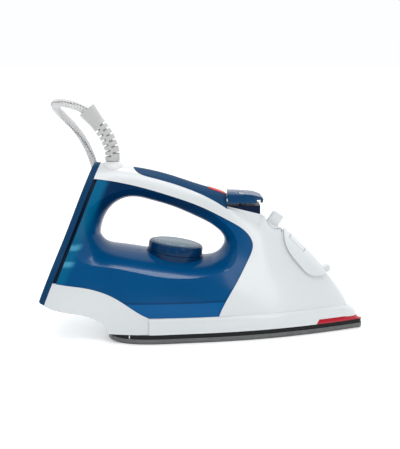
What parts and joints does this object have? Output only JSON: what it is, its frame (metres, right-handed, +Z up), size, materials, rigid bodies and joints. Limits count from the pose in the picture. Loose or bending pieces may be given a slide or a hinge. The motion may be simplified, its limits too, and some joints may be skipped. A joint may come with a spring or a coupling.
{
  "type": "steam iron",
  "caption": "Corded steam iron with a blue water tank under an open handle, white housing, thermostat dial, pump buttons, steam selector, filler door, spray nozzle and plugged mains cord.",
  "frame": {"origin": "on the ironing surface, under the middle of the iron's length, on its centre plane, with the iron flat on its sole", "axes": "+X from the heel plate to the tip of the sole, +Y to the iron's left, +Z up from the ironing surface"},
  "size_m": [0.281, 0.2269, 0.2],
  "materials": {
    "sole_metal": "fine brushed, polished edge",
    "element_steel": "heat-tinted tube",
    "chamber_metal": "pressed sheet",
    "band_black": "glossy black moulding",
    "thermostat_metal": "pressed parts",
    "fuse_sleeve": "woven glass sleeve",
    "white_shell": "satin-gloss white moulding",
    "accent_red": "glossy red strip",
    "tank_blue": "glossy translucent blue tank",
    "inner_tank": "clear moulding under the blue one",
    "pad_blue": "satin soft-touch blue",
    "rear_blue": "satin blue moulding",
    "inner_dark": "dark moulding",
    "lens_red": "red lens",
    "lamp_glass": "neon bulb",
    "swivel_grey": "light grey",
    "guard_grey": "light grey soft moulding",
    "cord_textile": "white braid with dark flecks",
    "core_textile": "white braid with dark flecks",
    "tie_black": "hook tape",
    "plug_white": "moulded plug",
    "pin_nickel": "nickel plated",
    "button_blue": "glossy blue caps",
    "turret_navy": "satin navy",
    "piston_grey": "acetal",
    "pump_body": "pale moulding",
    "spring_steel": "spring wire",
    "hose_silicone": "silicone tube",
    "pin_steel": "drawn pin",
    "ring_blue": "glossy blue",
    "dial_blue": "glossy blue bevelled ring",
    "cap_grey": "grey translucent disc",
    "shaft_grey": "heat-proof moulding",
    "lead_white": "sleeved wire",
    "screw_zinc": "zinc plated"
  },
  "bodies": {
    "housing": {"soleplate": "sole_metal", "heating_element": "element_steel", "steam_chamber_cover": "chamber_metal", "heat_shield": "band_black", "thermostat": "thermostat_metal", "thermal_fuse": "fuse_sleeve", "lower_housing": "white_shell", "body_shell": "white_shell", "nose_cover": "white_shell", "spray_nozzle": "white_shell", "tip_accent": "accent_red", "water_tank": "tank_blue", "tank_base": "inner_tank", "tank_front": "inner_tank", "filler_duct": "inner_tank", "grip_pad": "pad_blue", "rear_cover": "rear_blue", "rear_bulkhead": "inner_dark", "terminal_block": "inner_dark", "cord_clamp": "inner_dark", "cord_socket": "inner_dark", "pilot_lens": "lens_red", "pilot_lamp": "lamp_glass", "cord_run": "cord_textile", "cord_coil": "cord_textile", "cord_tail": "cord_textile", "cord_tie": "tie_black", "plug_body": "plug_white", "plug_pin_left": "pin_nickel", "plug_pin_right": "pin_nickel", "turret_base": "turret_navy", "steam_pump": "pump_body", "spray_pump": "pump_body", "valve_seat": "pump_body", "steam_spring": "spring_steel", "spray_spring": "spring_steel", "steam_pipe": "hose_silicone", "spray_hose": "hose_silicone", "hinge_pin": "pin_steel", "dial_ring": "ring_blue", "lead_left": "lead_white", "lead_right": "lead_white", "rear_screw_left": "screw_zinc", "rear_screw_right": "screw_zinc", "sole_screw_front": "screw_zinc", "sole_screw_left": "screw_zinc", "sole_screw_right": "screw_zinc"},
    "steam_button": {"steam_button": "button_blue", "steam_piston": "piston_grey"},
    "spray_button": {"spray_button": "button_blue", "spray_piston": "piston_grey"},
    "dial": {"thermostat_dial": "dial_blue", "dial_cap": "cap_grey", "thermostat_shaft": "shaft_grey"},
    "selector": {"selector_knob": "white_shell", "valve_rod": "piston_grey"},
    "door": {"filler_door": "white_shell"},
    "cord_swivel": {"cord_ball": "swivel_grey", "cord_guard": "guard_grey", "cord_core": "core_textile"}
  },
  "joints": [
    {"name": "steam_press", "type": "slide", "parent": "housing", "child": "steam_button", "axis": [0, 0, -1], "range_m": [0, 0.004], "stiffness_N_per_m": 800, "springref_m": -0.003, "deforming": ["steam_spring"]},
    {"name": "spray_press", "type": "slide", "parent": "housing", "child": "spray_button", "axis": [0, 0, -1], "range_m": [0, 0.004], "stiffness_N_per_m": 800, "springref_m": -0.003, "deforming": ["spray_spring"]},
    {"name": "dial_turn", "type": "hinge", "parent": "housing", "child": "dial", "pos_m": [-0.026, 0, 0.0669], "axis": [0.1392, 0, 0.9903], "range_deg": [0, 270]},
    {"name": "selector_turn", "type": "hinge", "parent": "housing", "child": "selector", "pos_m": [0.059, 0, 0.0932], "axis": [0.5548, 0, 0.832], "range_deg": [-35, 35]},
    {"name": "door_open", "type": "hinge", "parent": "housing", "child": "door", "pos_m": [0.08839, 0, 0.06946], "axis": [0, 1, 0], "range_deg": [0, 100]},
    {"name": "cord_swivel", "type": "hinge", "parent": "housing", "child": "cord_swivel", "pos_m": [-0.0793, 0, 0.138], "axis": [0, 1, 0], "range_deg": [-8, 25], "deforming": ["cord_run"]}
  ]
}
